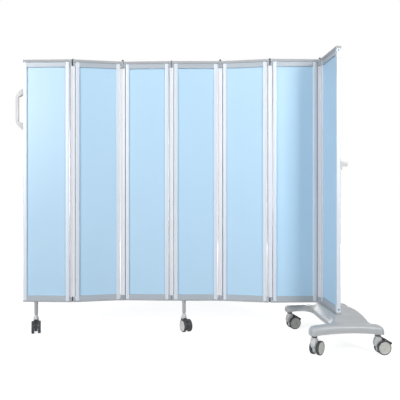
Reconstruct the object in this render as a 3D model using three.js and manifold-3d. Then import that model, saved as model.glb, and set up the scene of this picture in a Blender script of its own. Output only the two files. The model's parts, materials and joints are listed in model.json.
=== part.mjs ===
// Ward privacy screen on wheels: seven hinged leaves, one of them standing on a wheeled base.
// Millimetres, +Z up. The base leaf runs along Y, the other six leaves zigzag away to its left (-X).
import * as THREE from 'three';
import { mergeVertices } from 'three/addons/utils/BufferGeometryUtils.js';
import Module from 'manifold-3d';

// Driving dimensions: leaves
const leafCount = 7;
const leafHeight = 1460;
const leafPitch = 297; // hinge axis to hinge axis
const floorGap = 185; // floor to the underside of a leaf
const restFolds = [13.5, 14, 3, 11, 12.5, 87.5]; // degrees away from flat at hinges 1 to 6
const fit = 0.3; // clearance between pieces that touch
const overrun = 5; // how far a cutting tool runs past what it cuts

// Driving dimensions: frame extrusions
const stileWidth = 24;
const stileDepth = 22;
const stileRound = 3;
const stileWall = 2.5;
const stileSetback = 14.5; // hinge axis to the near edge of a stile
const railDepth = 28;
const railRound = 3;
const webDepth = 20;
const topRailHeight = 48;
const topCapHeight = 16;
const topLugHeight = 40;
const bottomRailHeight = 38;
const bottomCapHeight = 9;
const bottomLugHeight = 32;
const sheetThickness = 4;
const sheetTuck = 7; // how far the sheet sits inside its groove
const grooveDepth = 8;

// Driving dimensions: hinges
const foldedGap = 1; // between the rails of two leaves folded together
const railEndGap = 1.5; // from the hinge axis to the end of a rail
const knuckleRadius = 6;
const knuckleGap = 0.5;
const pinRadius = 3;
const pinHeadRadius = 5;
const pinHeadHeight = 7;
const pinHeadChamfer = 1.5;
const pinSides = 8;
const stripWidth = 26;
const stripDepth = 9;
const stripRecess = 2; // below the face of the stiles
const stripWall = 2;
const stripGroove = 1.2;

// Driving dimensions: handle on the free leaf and hook on the base leaf
const handleLength = 248;
const handleReach = 47;
const handleBar = 16;
const handleDepth = 20;
const handleFoot = 42; // height of each foot where it meets the stile
const handleSlope = 34; // height of the sloping shoulder
const handleRound = 4;
const handleCornerRadius = 12;
const handleBelowTop = 298; // top of the leaf to the middle of the grip
const hookHeight = 1002; // floor to the middle of the nose
const hookReach = 43;
const hookDrop = 30; // from the middle of the nose to the foot of its leg
const hookBar = 9;
const hookWidth = 14;
const hookNose = 28;
const hookRound = 1;
const hookSink = 1;

// Driving dimensions: legs with casters
const legRadius = 11;
const legFlangeRadius = 13.8;
const legFlangeHeight = 3;
const outerLegInset = 76; // from the free edge of the outermost leaf
const middleLegInset = 76; // from the hinge at the middle leg's leaf
const middleLegLeaf = 4;

// Driving dimensions: twin wheel caster, the wheels trailing along +X of its own frame
const wheelRadius = 37.5;
const wheelWidth = 17;
const wheelSides = 18;
const wheelInner = 10; // caster centre plane to the inner face of a wheel
const treadRound = 3;
const hubRadius = 33;
const hubDish = 2;
const hubDome = 1;
const axleRadius = 4;
const runningGap = 0.3;
const casterTrail = 27;
const casterCoreWidth = 18; // the web between the wheels
const casterCoreTop = 80;
const casterCoreBack = 15; // behind the swivel axis, at the top of the core
const casterCoreToe = 19; // behind the swivel axis, level with the axle
const casterCoreBottom = 17;
const casterFenderRadius = 33;
const casterFenderAngles = [-35, 80]; // degrees about the axle, 90 straight up
const casterBulge = [30, 58]; // where the curve of the back is drawn to, behind the axis and up
const guardWidth = 30; // the mudguard behind the wheels
const guardGap = 1.5;
const guardEndAngle = 115; // degrees about the axle, 90 straight up
const legHousingTop = 95;
const baseHousingTop = 106;
const housingTopRadius = 12;
const housingRadius = 16;
const stemRadius = 5.5;
const stemCollarRadius = 9;
const legStemLength = 35;
const pedalBarrelRadius = 4;
const pedalRise = 8; // from the top of the caster's core to the middle of the barrel
const pedalLength = 66;
const pedalThickness = 4;
const pedalWidth = 22;
const pedalSlope = 26; // degrees below level
const pedalLip = 5;

// Driving dimensions: base
const armPastLeaf = 115.5; // end of the base leaf to the middle of a cross arm
const armHalfWidth = 36;
const armReach = 195;
const armTop = 154; // at the ends of an arm
const armEndRound = 26;
const armEdgeRound = 16;
const rimHeight = 108; // at the ends of an arm
const archRise = 14;
const baseWall = 4;
const bayEdge = 50; // centre line to the foot of the left flank
const bayFillet = 45;
const deckEdge = 164; // centre line to the right edge of the deck
const deckEdgeHeight = 173; // at the middle of the base
const deckShoulder = 24;
const crestHalfWidth = 15;
const ledgeWidth = 14; // the flat strip beside the leaf, on the side of the bay
const ledgeRound = 5;
const casterSpread = 169; // centre line to each base caster
const frameBarHalfWidth = 18;
const frameBarHeight = 18;
const frameBarReach = 174;
const frameBottom = 122;
const spineHalfWidth = 10;
const studRadius = 5;
const studRise = 20; // above the underside of the base leaf
const studSpacing = 200;

// Shares that give the base cover its modelling
const endRoundShares = [0, 0.15, 0.5, 1]; // of the rounding at an arm's end
const armStationShares = [0.7, 0.35]; // of an arm's reach
const filletShares = [0.85, 0.5]; // of the bay fillet
const flankShares = [0.12, 0.35, 0.92]; // of the left flank's height
const flankLeanShare = 0.12; // of the width from the left flank's foot to the ledge
const deckAcrossShares = [0.35, 0.65]; // of the width from the crest to the deck's edge
const deckRiseShares = [0.85, 0.6, 0.25]; // of the crest's height above the deck's edge
const deckDomeShare = 2 / 3; // of the way to a cross arm, where the deck's dome ends
const deckLipShares = [0.35, 0.25]; // of the deck's shoulder, across and down

// Caster directions in degrees, each measured in the frame of what carries it
const baseCasters = [
  { name: 'rear_left', side: -1, end: 1, turn: 16, brake: true },
  { name: 'rear_right', side: 1, end: 1, turn: 150, brake: false },
  { name: 'front_left', side: -1, end: -1, turn: 45, brake: false },
  { name: 'front_right', side: 1, end: -1, turn: 5, brake: true },
];
const outerLegTurn = -71;
const middleLegTurn = -62;

const wasm = await Module();
wasm.setup();

const radians = THREE.MathUtils.degToRad;
const pivotOffset = railDepth / 2 + foldedGap / 2;
const leafTop = leafHeight;
const armCentre = leafPitch / 2 + armPastLeaf;
const topCapUnderside = leafTop - topCapHeight;
const weldTolerance = 1e-4; // points closer than this are one point

function metal(color, roughness, metalness) {
  return new THREE.MeshStandardMaterial({ color, roughness, metalness });
}

const aluminium = () => metal(0xdfe4ea, 0.35, 0.8);
const railGrey = () => metal(0xb4bac0, 0.45, 0.5);
const sheetBlue = () => metal(0xb9def3, 0.4, 0);
const stripWhite = () => metal(0xe6ebf0, 0.5, 0);
const baseGrey = () => metal(0xb2b8bd, 0.45, 0);
const steelGrey = () => metal(0x9aa0a6, 0.4, 0.7);
const casterGrey = () => metal(0xb9bcbd, 0.5, 0);
const casterBlack = () => metal(0x3a3d42, 0.55, 0);
const handleGrey = () => metal(0xc4c7c9, 0.5, 0);

// Booleans: a geometry becomes a solid, and a solid becomes a geometry again
function toSolid(geometry) {
  const bare = geometry.clone();
  bare.deleteAttribute('normal');
  bare.deleteAttribute('uv');
  const merged = mergeVertices(bare, weldTolerance);
  return new wasm.Manifold(new wasm.Mesh({
    numProp: 3,
    vertProperties: new Float32Array(merged.attributes.position.array),
    triVerts: new Uint32Array(merged.index.array),
  }));
}

function toGeometry(solid) {
  const { vertProperties, triVerts } = solid.getMesh();
  const geometry = new THREE.BufferGeometry();
  geometry.setAttribute('position', new THREE.BufferAttribute(new Float32Array(vertProperties), 3));
  geometry.setIndex(new THREE.BufferAttribute(new Uint32Array(triVerts), 1));
  geometry.computeVertexNormals();
  return geometry;
}

function joined(geometries) {
  return geometries.map(toSolid).reduce((all, next) => all.add(next));
}

function named(name, geometry, material) {
  const mesh = new THREE.Mesh(geometry, material);
  mesh.name = name;
  return mesh;
}

// A box from its lowest to its highest corner
function boxBetween(low, high) {
  const [x, y, z] = high.map((value, k) => value - low[k]);
  const middle = high.map((value, k) => (value + low[k]) / 2);
  return new THREE.BoxGeometry(x, y, z).translate(...middle);
}

// An upright cylinder on the point (x, y), from one height to another
function upright(radius, x, y, from, to, sides = 12) {
  const cylinder = new THREE.CylinderGeometry(radius, radius, to - from, sides);
  return cylinder.rotateX(Math.PI / 2).translate(x, y, (from + to) / 2);
}

// A turned piece whose axis is Z, from [radius, height] points
function turned(points, sides = 16) {
  const profile = points.map(([radius, height]) => new THREE.Vector2(radius, height));
  return new THREE.LatheGeometry(profile, sides).rotateX(Math.PI / 2);
}

function roundedRectangle(shape, left, right, low, high, radius) {
  shape.moveTo(left + radius, low);
  shape.lineTo(right - radius, low);
  shape.absarc(right - radius, low + radius, radius, -Math.PI / 2, 0);
  shape.lineTo(right, high - radius);
  shape.absarc(right - radius, high - radius, radius, 0, Math.PI / 2);
  shape.lineTo(left + radius, high);
  shape.absarc(left + radius, high - radius, radius, Math.PI / 2, Math.PI);
  shape.lineTo(left, low + radius);
  shape.absarc(left + radius, low + radius, radius, Math.PI, 3 * Math.PI / 2);
  return shape;
}

// An outline in the Y-Z plane, drawn out along X from one place to another
function alongX(shape, from, to, curveSegments = 2) {
  const bar = new THREE.ExtrudeGeometry(shape, { depth: to - from, bevelEnabled: false, curveSegments });
  return bar.rotateY(Math.PI / 2).rotateX(Math.PI / 2).translate(from, 0, 0);
}

// An outline in the X-Z plane, drawn out along Y and centred on it, with rounded edges if asked
function alongY(shape, width, round = 0, curveSegments = 6) {
  const plate = new THREE.ExtrudeGeometry(shape, {
    depth: width - 2 * round,
    bevelEnabled: round > 0,
    bevelThickness: round,
    bevelSize: round,
    bevelOffset: -round,
    bevelSegments: 2,
    curveSegments,
  });
  return plate.rotateX(Math.PI / 2).translate(0, width / 2 - round, 0);
}

// A solid through a row of like-numbered closed sections
function lofted(sections) {
  const count = sections[0].length;
  const points = sections.flat(2);
  const faces = [];
  for (let s = 0; s + 1 < sections.length; s += 1) {
    for (let k = 0; k < count; k += 1) {
      const a = s * count + k;
      const b = s * count + (k + 1) % count;
      faces.push(a, b, b + count, a, b + count, a + count);
    }
  }
  const last = (sections.length - 1) * count;
  for (let k = 1; k + 1 < count; k += 1) {
    faces.push(0, k + 1, k, last, last + k, last + k + 1);
  }
  const geometry = new THREE.BufferGeometry();
  geometry.setAttribute('position', new THREE.BufferAttribute(new Float32Array(points), 3));
  geometry.setIndex(faces);
  return geometry;
}

// Leaves. Each leaf has its own frame: X from its left hinge to its right one, -Y towards the front.
// Hinges 2, 4 and 6 turn on the front face and the others on the rear face, so the leaves zigzag.
const onFront = (hinge) => hinge % 2 === 0;
const axisY = (hinge) => (onFront(hinge) ? -pivotOffset : pivotOffset);

function leafEnds(leaf) {
  const hasLeft = leaf > 1;
  const hasRight = leaf < leafCount;
  return {
    hasLeft,
    hasRight,
    stileLeft: hasLeft ? stileSetback : 0,
    stileRight: leafPitch - (hasRight ? stileSetback : 0),
    railLeft: hasLeft ? railEndGap : 0,
    railRight: leafPitch - (hasRight ? railEndGap : 0),
  };
}

// An extruded stile with a groove for the sheet on its +X side and a hollow chamber
function stile(name) {
  const half = stileDepth / 2;
  const groove = sheetThickness / 2 + fit;
  const shape = new THREE.Shape();
  shape.moveTo(stileRound, -half);
  shape.lineTo(stileWidth - stileRound, -half);
  shape.absarc(stileWidth - stileRound, stileRound - half, stileRound, -Math.PI / 2, 0);
  shape.lineTo(stileWidth, -groove);
  shape.lineTo(stileWidth - grooveDepth, -groove);
  shape.lineTo(stileWidth - grooveDepth, groove);
  shape.lineTo(stileWidth, groove);
  shape.lineTo(stileWidth, half - stileRound);
  shape.absarc(stileWidth - stileRound, half - stileRound, stileRound, 0, Math.PI / 2);
  shape.lineTo(stileRound, half);
  shape.absarc(stileRound, half - stileRound, stileRound, Math.PI / 2, Math.PI);
  shape.absarc(stileRound, stileRound - half, stileRound, Math.PI, 3 * Math.PI / 2);
  const chamber = new THREE.Path();
  chamber.moveTo(stileWall, stileWall - half + stileRound);
  chamber.lineTo(stileWall, half - stileWall - stileRound);
  chamber.lineTo(stileWidth - grooveDepth - stileWall, half - stileWall - stileRound);
  chamber.lineTo(stileWidth - grooveDepth - stileWall, stileWall - half + stileRound);
  shape.holes.push(chamber);
  const foot = bottomCapHeight + fit;
  const bar = new THREE.ExtrudeGeometry(shape, {
    depth: topCapUnderside - fit - foot,
    bevelEnabled: false,
    curveSegments: 2,
  });
  return named(name, bar.translate(0, 0, foot), aluminium());
}

// A slotted web between the stiles; the slot takes the edge of the sheet
function railWeb(ends, low, high, slotUp) {
  const half = webDepth / 2;
  const slot = sheetThickness / 2 + fit;
  const from = ends.stileLeft + stileWidth + fit;
  const to = ends.stileRight - stileWidth - fit;
  const web = toSolid(boxBetween([from, -half, low], [to, half, high]));
  const slotLow = slotUp ? high - grooveDepth : low - overrun;
  const slotHigh = slotUp ? high + overrun : low + grooveDepth;
  const cut = boxBetween([from - overrun, -slot, slotLow], [to + overrun, slot, slotHigh]);
  return web.subtract(toSolid(cut));
}

// One knuckle of a hinge on a rail: its own barrel, and room for the barrel of the next leaf.
// The left leaf of a pair carries the outer barrel with the pin, the right one the inner barrel.
function withKnuckle(rail, hinge, axisX, carriesPin, outerEnd, innerEnd) {
  const y = axisY(hinge);
  const middle = (outerEnd + innerEnd) / 2;
  const outward = Math.sign(outerEnd - innerEnd);
  const own = carriesPin ? [middle + outward * fit, outerEnd] : [innerEnd, middle];
  const other = carriesPin ? [innerEnd, middle + outward * fit] : [middle, outerEnd];
  const span = ([a, b]) => [Math.min(a, b), Math.max(a, b)];
  const [ownLow, ownHigh] = span(own);
  const [otherLow, otherHigh] = span(other);
  const roomLow = otherLow - (otherLow < ownLow ? overrun : 0);
  const roomHigh = otherHigh + (otherHigh > ownHigh ? overrun : 0);
  const room = upright(knuckleRadius + knuckleGap, axisX, y, roomLow, roomHigh);
  let solid = rail.subtract(toSolid(room));
  solid = solid.add(toSolid(upright(knuckleRadius, axisX, y, ownLow, ownHigh)));
  if (carriesPin) {
    const pinEnd = innerEnd + outward * fit;
    const [pinLow, pinHigh] = span([pinEnd, middle + outward * overrun]);
    solid = solid.add(toSolid(upright(pinRadius, axisX, y, pinLow, pinHigh, pinSides)));
    const rim = outerEnd + outward * (pinHeadHeight - pinHeadChamfer);
    const head = turned([
      [0, outerEnd - outward * fit],
      [pinHeadRadius, outerEnd - outward * fit],
      [pinHeadRadius, rim],
      [pinHeadRadius - pinHeadChamfer, outerEnd + outward * pinHeadHeight],
      [0, outerEnd + outward * pinHeadHeight],
    ]);
    if (outward > 0) {
      head.translate(axisX, y, 0);
      solid = solid.add(toSolid(head));
    }
    return solid;
  }
  const boreRadius = pinRadius + runningGap;
  const bore = upright(boreRadius, axisX, y, ownLow - overrun, ownHigh + overrun, pinSides);
  return solid.subtract(toSolid(bore));
}

// A rail: a deep cap over the stile ends, a web between them, and a hinge lug beyond each of them
function rail(leaf, isTop) {
  const ends = leafEnds(leaf);
  const half = railDepth / 2;
  const capLow = isTop ? topCapUnderside : 0;
  const capHigh = isTop ? leafTop : bottomCapHeight;
  const cap = roundedRectangle(new THREE.Shape(), -half, half, capLow, capHigh, railRound);
  const webLow = isTop ? leafTop - topRailHeight : capHigh - fit;
  const webHigh = isTop ? capLow + fit : bottomRailHeight;
  let solid = toSolid(alongX(cap, ends.railLeft, ends.railRight));
  solid = solid.add(railWeb(ends, webLow, webHigh, !isTop));
  const lugLow = isTop ? leafTop - topLugHeight : railRound;
  const lugHigh = isTop ? leafTop - railRound : bottomLugHeight;
  const lugEnd = stileSetback - fit;
  const outerEnd = isTop ? leafTop : 0;
  const innerEnd = isTop ? lugLow : lugHigh;
  const lugDepth = stileDepth / 2;
  if (ends.hasLeft) {
    const lug = boxBetween([railEndGap, -lugDepth, lugLow], [lugEnd, lugDepth, lugHigh]);
    solid = solid.add(toSolid(lug));
    solid = solid.add(toSolid(lugArm(leaf - 1, railEndGap, lugEnd, lugLow, lugHigh)));
    solid = withKnuckle(solid, leaf - 1, 0, false, outerEnd, innerEnd);
  }
  if (ends.hasRight) {
    const from = leafPitch - lugEnd;
    const to = leafPitch - railEndGap;
    solid = solid.add(toSolid(boxBetween([from, -lugDepth, lugLow], [to, lugDepth, lugHigh])));
    solid = solid.add(toSolid(lugArm(leaf, from, to, lugLow, lugHigh)));
    solid = withKnuckle(solid, leaf, leafPitch, true, outerEnd, innerEnd);
  }
  if (!isTop && leaf === leafCount) {
    for (const x of studPlaces()) {
      const hole = upright(studRadius + knuckleGap, x, 0, -overrun, studRise + fit);
      solid = solid.subtract(toSolid(hole));
    }
  }
  const name = `leaf_${leaf}_${isTop ? 'top' : 'bottom'}_rail`;
  return named(name, toGeometry(solid), railGrey());
}

// The part of a lug that reaches out of the leaf's depth to its knuckle
function lugArm(hinge, from, to, low, high) {
  const reach = pivotOffset - foldedGap / 2;
  const [near, far] = onFront(hinge) ? [-reach, 0] : [0, reach];
  return boxBetween([from, near, low], [to, far, high]);
}

function sheet(leaf) {
  const ends = leafEnds(leaf);
  const half = sheetThickness / 2;
  const low = [ends.stileLeft + stileWidth - sheetTuck, -half, bottomRailHeight - sheetTuck];
  const high = [ends.stileRight - stileWidth + sheetTuck, half, leafTop - topRailHeight + sheetTuck];
  return named(`leaf_${leaf}_sheet`, boxBetween(low, high), sheetBlue());
}

// The cover strip that closes the gap at a hinge: a shallow channel with a groove down its middle
function hingeStrip(hinge) {
  const face = stripRecess - stileDepth / 2;
  const back = face + stripDepth;
  const edge = stripWidth / 2;
  const shape = new THREE.Shape();
  shape.moveTo(stripWall - edge, face);
  shape.lineTo(-stripGroove, face);
  shape.lineTo(0, face + stripGroove);
  shape.lineTo(stripGroove, face);
  shape.lineTo(edge - stripWall, face);
  shape.lineTo(edge, face + stripWall);
  shape.lineTo(edge, back);
  shape.lineTo(edge - stripWall, back);
  shape.lineTo(edge - stripWall, face + 2 * stripWall);
  shape.lineTo(stripWall - edge, face + 2 * stripWall);
  shape.lineTo(stripWall - edge, back);
  shape.lineTo(-edge, back);
  shape.lineTo(-edge, face + stripWall);
  const low = bottomLugHeight + fit;
  const high = leafTop - topLugHeight - fit;
  const strip = new THREE.ExtrudeGeometry(shape, { depth: high - low, bevelEnabled: false });
  const seat = stileSetback - fit - edge;
  return named(`hinge_${hinge}_strip`, strip.translate(seat, 0, low), stripWhite());
}

// The grab handle: a grip bar held off the stile by two sloping feet
function handle() {
  const half = handleLength / 2;
  const shoulder = half - handleSlope;
  const inner = half - handleFoot;
  const bar = handleReach - handleBar;
  const shape = new THREE.Shape();
  shape.moveTo(0, half);
  shape.lineTo(handleCornerRadius - handleReach, shoulder + handleCornerRadius);
  shape.quadraticCurveTo(-handleReach, shoulder, -handleReach, shoulder - handleCornerRadius);
  shape.lineTo(-handleReach, handleCornerRadius - shoulder);
  shape.quadraticCurveTo(-handleReach, -shoulder, handleCornerRadius - handleReach,
    -shoulder - handleCornerRadius);
  shape.lineTo(0, -half);
  shape.lineTo(0, -inner);
  shape.lineTo(handleCornerRadius - bar, -inner);
  shape.quadraticCurveTo(-bar, -inner, -bar, handleCornerRadius - inner);
  shape.lineTo(-bar, inner - handleCornerRadius);
  shape.quadraticCurveTo(-bar, inner, handleCornerRadius - bar, inner);
  shape.lineTo(0, inner);
  const grip = alongY(shape, handleDepth, handleRound);
  return named('handle', grip.translate(-fit, 0, leafTop - handleBelowTop), handleGrey());
}

// The hook on the front edge of the base leaf, cast in one with a foot that is sunk into the stile
function frontStile() {
  const bar = stile('leaf_7_front_stile');
  bar.geometry.rotateZ(Math.PI);
  const nose = hookNose / 2;
  const shape = new THREE.Shape();
  shape.moveTo(-hookSink, -hookDrop);
  shape.lineTo(hookBar, -hookDrop);
  shape.lineTo(hookBar, -nose);
  shape.lineTo(hookReach - nose, -nose);
  shape.absarc(hookReach - nose, 0, nose, -Math.PI / 2, Math.PI / 2);
  shape.lineTo(-hookSink, nose);
  const hook = alongY(shape, hookWidth, hookRound).rotateZ(Math.PI / 2);
  hook.translate(-stileWidth / 2, stileDepth / 2, hookHeight - floorGap);
  bar.geometry = toGeometry(joined([bar.geometry, hook]));
  return bar;
}

// Legs: which leaves stand on one, and how far along the leaf it is
function legPlace(leaf) {
  if (leaf === 1) {
    return outerLegInset;
  }
  return leaf === middleLegLeaf ? middleLegInset : null;
}

function legTube(name) {
  const bore = stemRadius + runningGap;
  const tube = turned([
    [bore, legHousingTop + fit],
    [legRadius, legHousingTop + fit],
    [legRadius, floorGap - legFlangeHeight - fit],
    [legFlangeRadius, floorGap - legFlangeHeight - fit],
    [legFlangeRadius, floorGap - fit],
    [bore, floorGap - fit],
    [bore, legHousingTop + fit],
  ]);
  return named(name, tube.translate(0, 0, -floorGap), steelGrey());
}

// Casters, in a frame whose origin is on the floor under the swivel stem
function wheelPair(name, material) {
  const outer = wheelInner + wheelWidth;
  const half = [
    [0, outer + hubDome - hubDish],
    [hubRadius, outer - hubDish],
    [hubRadius, outer],
    [wheelRadius - treadRound, outer],
    [wheelRadius, outer - treadRound],
    [wheelRadius, wheelInner],
    [axleRadius, wheelInner],
  ];
  const mirror = half.map(([radius, place]) => [radius, -place]);
  const spool = turned([...mirror, ...half.reverse()], wheelSides);
  // The flats between the facets' edges lie at the true radius, and one of them is on the floor
  const outward = 1 / Math.cos(Math.PI / wheelSides);
  spool.scale(outward, outward, 1).rotateX(Math.PI / 2).rotateY(Math.PI / wheelSides);
  return named(name, spool.translate(casterTrail, 0, wheelRadius), material);
}

// A caster's body: a web between the wheels, a mudguard behind them and a cone round the stem
function casterBody(name, housingTop, stemTop, collarTop, material) {
  const [bulgeBack, bulgeHeight] = casterBulge;
  const shape = new THREE.Shape();
  shape.moveTo(-casterCoreBack, casterCoreTop);
  shape.quadraticCurveTo(-bulgeBack, bulgeHeight, -casterCoreToe, wheelRadius);
  shape.quadraticCurveTo(-casterCoreToe, casterCoreBottom, 0, casterCoreBottom);
  shape.lineTo(casterTrail, casterCoreBottom);
  const [fenderFrom, fenderTo] = casterFenderAngles.map(radians);
  shape.absarc(casterTrail, wheelRadius, casterFenderRadius, fenderFrom, fenderTo);
  shape.lineTo(housingRadius, casterCoreTop);
  const hole = new THREE.Path();
  hole.absarc(casterTrail, wheelRadius, axleRadius + runningGap, 0, 2 * Math.PI);
  shape.holes.push(hole);
  const core = alongY(shape, casterCoreWidth, 0, 5);
  const guard = new THREE.Shape();
  guard.moveTo(-casterCoreBack, casterCoreTop);
  guard.quadraticCurveTo(-bulgeBack, bulgeHeight, -casterCoreToe, wheelRadius);
  guard.absarc(casterTrail, wheelRadius, wheelRadius + guardGap, Math.PI, radians(guardEndAngle), true);
  guard.lineTo(housingRadius, casterCoreTop);
  const profile = [
    [0, casterCoreTop - overrun],
    [housingRadius, casterCoreTop - overrun],
    [housingTopRadius, housingTop],
  ];
  if (collarTop > housingTop) {
    profile.push([stemCollarRadius, housingTop], [stemCollarRadius, collarTop]);
  }
  profile.push([stemRadius, Math.max(collarTop, housingTop)], [stemRadius, stemTop], [0, stemTop]);
  const solid = joined([core, alongY(guard, guardWidth, 0, 5), turned(profile)]);
  return named(name, toGeometry(solid), material);
}

// The brake pedal: a barrel seated against the caster's cone, and a sloping plate that reaches past
// the wheels. The cone narrows from the top of the core to the top of the housing.
function brakePedal(name) {
  const half = pedalThickness / 2;
  const pivotZ = casterCoreTop + pedalRise;
  const coneLow = casterCoreTop - overrun;
  const taper = (housingRadius - housingTopRadius) / (baseHousingTop - coneLow);
  const coneThere = housingRadius - taper * (pivotZ - coneLow);
  const pivotX = coneThere + (pedalBarrelRadius + fit) * Math.hypot(1, taper);
  const shape = new THREE.Shape();
  shape.moveTo(0, -half);
  shape.lineTo(pedalLength, -half);
  shape.lineTo(pedalLength + pedalLip, half);
  shape.lineTo(pedalLength + pedalLip, pedalThickness + half);
  shape.lineTo(pedalLength, half);
  shape.lineTo(0, half);
  const plate = alongY(shape, pedalWidth, 0).rotateY(radians(pedalSlope));
  const barrel = new THREE.CylinderGeometry(pedalBarrelRadius, pedalBarrelRadius, pedalWidth, 16);
  const solid = joined([plate, barrel]);
  return named(name, toGeometry(solid).translate(pivotX, 0, pivotZ), casterBlack());
}

// Base. Its underside follows one arch, whatever stands above it.
const rimAt = (x) => rimHeight + archRise * (1 - (x / armReach) ** 2);
const crestHeight = floorGap - fit;

// A cross arm of the cover: sections in the Y-Z plane from end to end, drawn in by the inset
function armLoft(end, inset) {
  const reach = armReach - inset;
  const halfWidth = armHalfWidth - inset;
  const edge = armEdgeRound - inset;
  const drop = inset > 0 ? overrun + archRise : 0;
  const rounded = endRoundShares.map((share) => reach - armEndRound * share);
  const half = [...rounded, ...armStationShares.map((share) => reach * share), 0];
  const stations = [...half.map((x) => -x), ...half.slice(0, -1).reverse()];
  return lofted(stations.map((x) => {
    const fromEnd = Math.min(1, (reach - Math.abs(x)) / armEndRound);
    const swell = Math.sqrt(1 - (1 - fromEnd) ** 2);
    const top = armTop - inset + archRise * (1 - (x / armReach) ** 2);
    const low = rimAt(x) - drop;
    const high = top - edge * (1 - swell);
    const width = halfWidth - (armEndRound / 2) * (1 - swell);
    return armSection(x, end * armCentre, width, low, high, edge);
  }));
}

function armSection(x, y, width, low, high, edge) {
  const arc = [0, 30, 60, 90].map((angle) => [Math.cos(radians(angle)), Math.sin(radians(angle))]);
  const corner = arc.map(([c, s]) => [width - edge + edge * c, high - edge + edge * s]);
  const mirrored = corner.slice().reverse().map(([across, z]) => [-across, z]);
  const outline = [[width, low], ...corner, ...mirrored, [-width, low]];
  return outline.map(([across, z]) => [x, y + across, z]);
}

// The spine and deck of the cover: sections in the X-Z plane from the front arm to the rear one
function deckLoft(inset) {
  const flareStart = armCentre - armHalfWidth - bayFillet;
  const end = armCentre - inset;
  const leafEnd = leafPitch / 2;
  const fillet = filletShares.map((share) => flareStart + bayFillet * share);
  const half = [end, armCentre - armHalfWidth, ...fillet, leafEnd, flareStart, leafEnd / 2, 0];
  half.sort((a, b) => b - a);
  const stations = [...half, ...half.slice(0, -1).reverse().map((y) => -y)];
  return lofted(stations.map((y) => deckSection(y, inset, flareStart, leafEnd)).reverse());
}

function deckSection(y, inset, flareStart, leafEnd) {
  const along = Math.abs(y);
  const into = Math.min(bayFillet, Math.max(0, along - flareStart));
  const flare = bayFillet - Math.sqrt(bayFillet ** 2 - into ** 2);
  const past = Math.min(1, Math.max(0, along - leafEnd) / (armCentre - leafEnd));
  const ease = past * past * (3 - 2 * past);
  const armMiddle = armTop + archRise - armEdgeRound / 2;
  const crest = crestHeight + (armMiddle - crestHeight) * ease - inset;
  const domed = Math.max(0, 1 - (along / (armCentre * deckDomeShare)) ** 2);
  const deck = armTop + (deckEdgeHeight - armTop) * domed - inset;
  const left = -(bayEdge + flare) + inset;
  const right = deckEdge - inset;
  const drop = inset > 0 ? overrun + archRise : 0;
  const shoulder = deckShoulder - inset;
  const ledge = inset - crestHalfWidth - ledgeWidth;
  const flank = flankShares.map((share) => rimAt(left) + (crest - rimAt(left)) * share);
  const across = deckAcrossShares.map((share) => crestHalfWidth + (right - crestHalfWidth) * share);
  const rise = deckRiseShares.map((share) => deck + (crest - deck) * share);
  const [lipAcross, lipDown] = deckLipShares.map((share) => shoulder * share);
  const outline = [
    [left, rimAt(left) - drop],
    [left, flank[0]],
    [left + (ledge - left) * flankLeanShare, flank[1]],
    [ledge - flare / 2, flank[2]],
    [ledge + ledgeRound, crest],
    [crestHalfWidth, crest],
    [across[0], rise[0]],
    [across[1], rise[1]],
    [right - shoulder, rise[2]],
    [right - lipAcross, deck - lipDown],
    [right, deck - shoulder],
    [right, rimAt(right) - drop],
  ];
  return outline.map(([x, z]) => [x, y, z]);
}

function baseCover() {
  const skin = (inset) => joined([armLoft(1, inset), armLoft(-1, inset), deckLoft(inset)]);
  let solid = skin(0).subtract(skin(baseWall));
  for (const x of studPlaces()) {
    const y = leafPitch / 2 - x;
    const hole = upright(studRadius + knuckleGap, 0, y, rimHeight, crestHeight + overrun);
    solid = solid.subtract(toSolid(hole));
  }
  return named('base_cover', toGeometry(solid), baseGrey());
}

// Places of the studs that hold the base leaf, along the leaf
function studPlaces() {
  return [-1, 1].map((side) => leafPitch / 2 + side * studSpacing / 2);
}

// The welded frame inside the cover: a cross bar over each pair of casters and a spine between them
function baseFrame() {
  const barTop = frameBottom + frameBarHeight;
  const spineTop = crestHeight - baseWall - fit;
  const tallEnd = leafPitch / 2 - baseWall;
  const pieces = [];
  for (const end of [-1, 1]) {
    const y = end * armCentre;
    pieces.push(boxBetween([-frameBarReach, y - frameBarHalfWidth, frameBottom],
      [frameBarReach, y + frameBarHalfWidth, barTop]));
  }
  pieces.push(boxBetween([-spineHalfWidth, -armCentre, frameBottom], [spineHalfWidth, armCentre, barTop]));
  pieces.push(boxBetween([-spineHalfWidth, -tallEnd, barTop - fit], [spineHalfWidth, tallEnd, spineTop]));
  for (const x of studPlaces()) {
    pieces.push(upright(studRadius, 0, leafPitch / 2 - x, barTop, floorGap + studRise));
  }
  let solid = joined(pieces);
  for (const { side, end } of baseCasters) {
    const hole = upright(stemRadius + runningGap, side * casterSpread, end * armCentre,
      frameBottom - overrun, barTop + overrun);
    solid = solid.subtract(toSolid(hole));
  }
  return named('base_frame', toGeometry(solid), steelGrey());
}

function baseAssembly() {
  const group = new THREE.Group();
  group.add(baseCover(), baseFrame());
  for (const { name, side, end, turn, brake } of baseCasters) {
    const caster = new THREE.Group();
    caster.name = `swivel_${name}`;
    caster.position.set(side * casterSpread, end * armCentre, 0);
    caster.rotation.z = radians(turn);
    const stemTop = frameBottom + frameBarHeight - fit;
    const collarTop = frameBottom - fit;
    caster.add(casterBody(`${name}_caster_body`, baseHousingTop, stemTop, collarTop, casterGrey()));
    caster.add(wheelPair(`${name}_wheels`, casterBlack()));
    if (brake) {
      caster.add(brakePedal(`${name}_brake_pedal`));
    }
    group.add(caster);
  }
  return group;
}

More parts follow.
